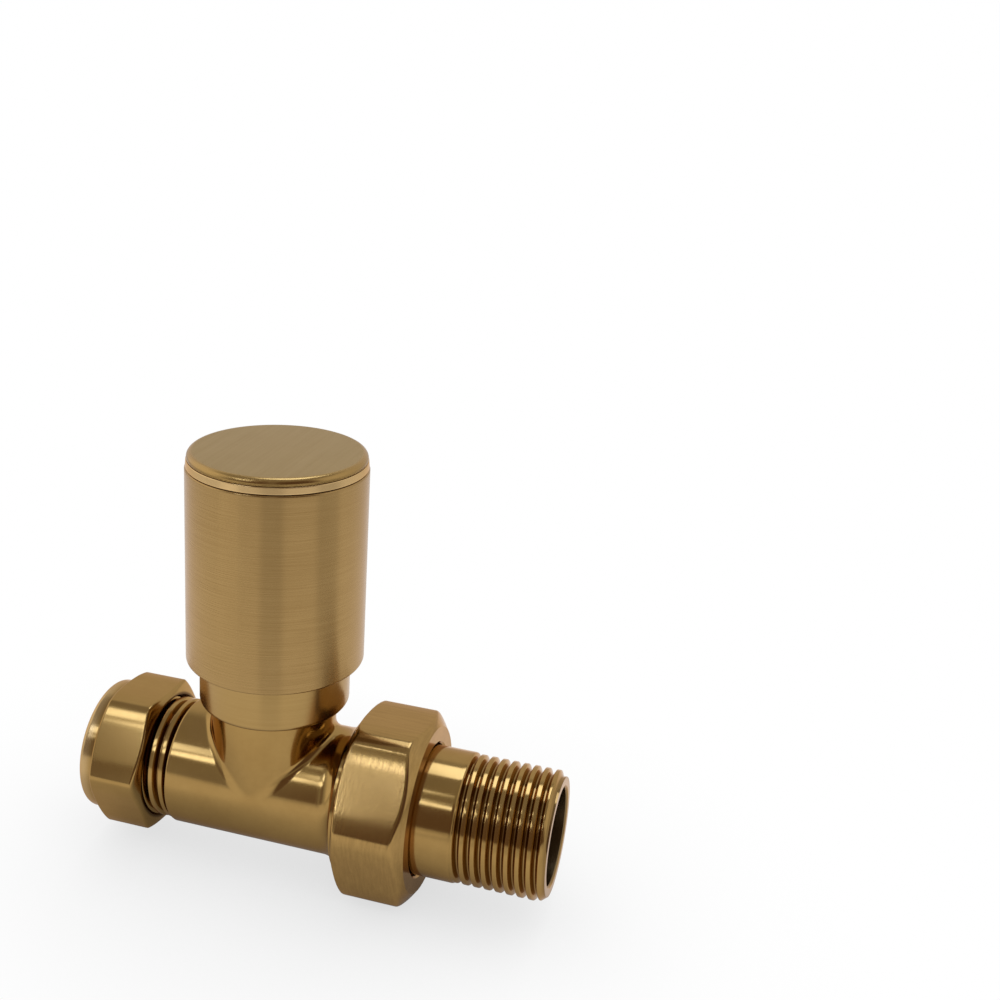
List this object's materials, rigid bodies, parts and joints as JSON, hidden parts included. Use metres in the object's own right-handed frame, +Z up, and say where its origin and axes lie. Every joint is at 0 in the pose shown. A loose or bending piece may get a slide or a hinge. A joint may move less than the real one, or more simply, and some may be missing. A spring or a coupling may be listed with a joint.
{
  "type": "lockshield radiator valve",
  "caption": "Straight brass lockshield radiator valve with a tall brushed push-on cap, a compression pipe end and a union nut with a threaded radiator tail.",
  "frame": {"origin": "the point where the pipe axis and the spindle axis cross", "axes": "+X along the pipe axis towards the radiator tail, +Z up the spindle axis towards the cap"},
  "size_m": [0.0812, 0.0326, 0.0746],
  "materials": {
    "valve_body": "polished",
    "olive": "as turned",
    "compression_nut": "polished",
    "union_gasket": "fibre-filled, matte",
    "union_tail": "polished",
    "union_nut": "brushed flats",
    "collar": "satin",
    "bonnet": "as turned",
    "bonnet_o_ring": "matte",
    "gland_nut": "as turned",
    "gland_washer": "matte",
    "spindle": "as turned",
    "spindle_o_ring_lower": "matte",
    "spindle_o_ring_upper": "matte",
    "valve_plug": "as turned",
    "seat_washer": "matte",
    "washer_screw": "as turned",
    "cap_sleeve": "brushed round",
    "cap_trim_ring": "polished",
    "cap_top_disc": "brushed",
    "cap_insert": "matte"
  },
  "bodies": {
    "valve": {"valve_body": "valve_body", "collar": "collar", "bonnet": "bonnet", "bonnet_o_ring": "bonnet_o_ring", "gland_nut": "gland_nut", "gland_washer": "gland_washer"},
    "spindle_body": {"spindle": "spindle", "spindle_o_ring_lower": "spindle_o_ring_lower", "spindle_o_ring_upper": "spindle_o_ring_upper", "valve_plug": "valve_plug", "washer_screw": "washer_screw"},
    "washer_body": {"seat_washer": "seat_washer"},
    "cap_body": {"cap_sleeve": "cap_sleeve", "cap_trim_ring": "cap_trim_ring", "cap_top_disc": "cap_top_disc", "cap_insert": "cap_insert"},
    "tail_body": {"union_tail": "union_tail", "union_gasket": "union_gasket"},
    "union_nut_body": {"union_nut": "union_nut"},
    "olive_body": {"olive": "olive"},
    "compression_nut_body": {"compression_nut": "compression_nut"}
  },
  "joints": [
    {"name": "spindle_turn", "type": "hinge", "parent": "washer_body", "child": "spindle_body", "pos_m": [0, 0, 0], "axis": [0, 0, 1], "range_deg": [0, 1080]},
    {"name": "plug_lift", "type": "slide", "parent": "valve", "child": "washer_body", "axis": [0, 0, 1], "range_m": [0, 0.0045]},
    {"name": "cap_lift", "type": "slide", "parent": "valve", "child": "cap_body", "axis": [0, 0, 1], "range_m": [0, 0.04]},
    {"name": "tail_draw", "type": "slide", "parent": "valve", "child": "tail_body", "axis": [1, 0, 0], "range_m": [0, 0.0075]},
    {"name": "union_nut_turn", "type": "hinge", "parent": "tail_body", "child": "union_nut_body", "pos_m": [0, 0, 0], "axis": [1, 0, 0], "range_deg": [0, 1800]},
    {"name": "olive_draw", "type": "slide", "parent": "valve", "child": "olive_body", "axis": [-1, 0, 0], "range_m": [0, 0.00635]},
    {"name": "compression_nut_turn", "type": "hinge", "parent": "olive_body", "child": "compression_nut_body", "pos_m": [0, 0, 0], "axis": [-1, 0, 0], "range_deg": [0, 1260]}
  ],
  "couplings": [
    {"joint": "plug_lift", "follows": "spindle_turn", "m_per_rad": 0.0002387},
    {"joint": "tail_draw", "follows": "union_nut_turn", "m_per_rad": 0.0002387},
    {"joint": "olive_draw", "follows": "compression_nut_turn", "m_per_rad": 0.0002887}
  ]
}
